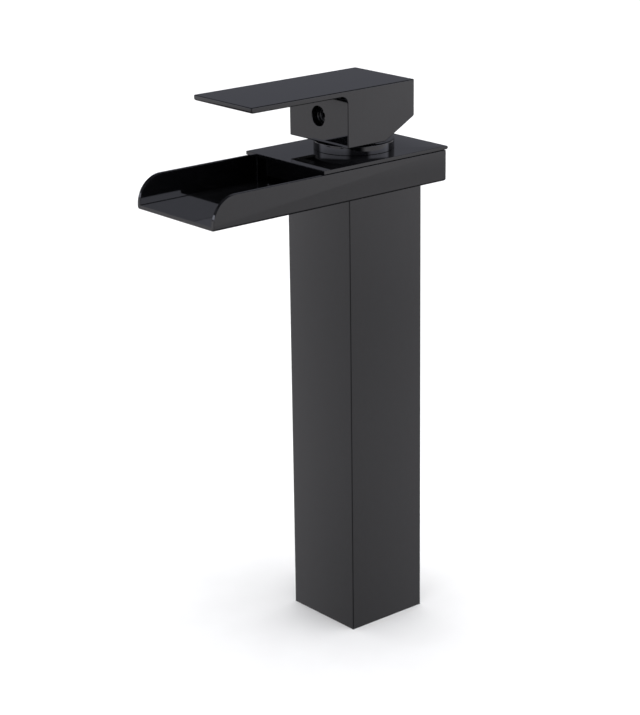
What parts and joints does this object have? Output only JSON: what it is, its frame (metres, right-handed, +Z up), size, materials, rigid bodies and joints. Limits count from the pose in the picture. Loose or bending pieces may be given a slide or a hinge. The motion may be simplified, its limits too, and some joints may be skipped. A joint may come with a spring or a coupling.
{
  "type": "waterfall basin faucet",
  "caption": "Tall single-lever basin faucet: square column, open trough spout with a flat cover, round bonnet and flat lever over a ceramic cartridge.",
  "frame": {"origin": "centre of the column's foot, on the deck", "axes": "+Z up along the column, the spout points along -Y, X across"},
  "size_m": [0.0632, 0.1549, 0.2979],
  "materials": {
    "black_finish": "gloss black over metal",
    "brass": "machined",
    "copper": "drawn tube",
    "steel": "zinc plated",
    "rubber": "matte",
    "white_plastic": "moulded",
    "grey_plastic": "moulded",
    "ceramic": "lapped"
  },
  "bodies": {
    "root": {"column_shell": "black_finish", "foot_block": "brass", "foot_pad": "rubber", "tie_rods": "steel", "tie_rod_washers": "steel", "hot_riser_tube": "copper", "cold_riser_tube": "copper", "riser_o_rings": "rubber", "valve_body": "brass", "trough_gasket": "rubber", "spout_trough": "black_finish", "weir_plate": "black_finish", "cover_plate": "black_finish", "bonnet": "black_finish", "cartridge_nut": "brass", "cartridge_housing": "grey_plastic", "cartridge_base": "white_plastic", "port_seals": "rubber", "disc_seals": "rubber", "fixed_disc": "ceramic"},
    "swivel": {"stem_carrier": "white_plastic", "pivot_pin": "steel"},
    "lever": {"stem": "brass", "lever_handle": "black_finish", "handle_set_screw": "steel"},
    "disc": {"moving_disc": "ceramic", "disc_carrier": "white_plastic"}
  },
  "joints": [
    {"name": "temperature", "type": "hinge", "parent": "root", "child": "swivel", "pos_m": [0, 0, 0.2638], "axis": [0, 0, 1], "range_deg": [-45, 45]},
    {"name": "lift", "type": "hinge", "parent": "swivel", "child": "lever", "pos_m": [0, 0, 0.2638], "axis": [-1, 0, 0], "range_deg": [0, 25]},
    {"name": "disc_travel", "type": "slide", "parent": "swivel", "child": "disc", "axis": [0, -1, 0], "range_m": [0, 0.00461]}
  ],
  "couplings": [
    {"joint": "disc_travel", "follows": "lift", "m_per_rad": 0.010557}
  ]
}
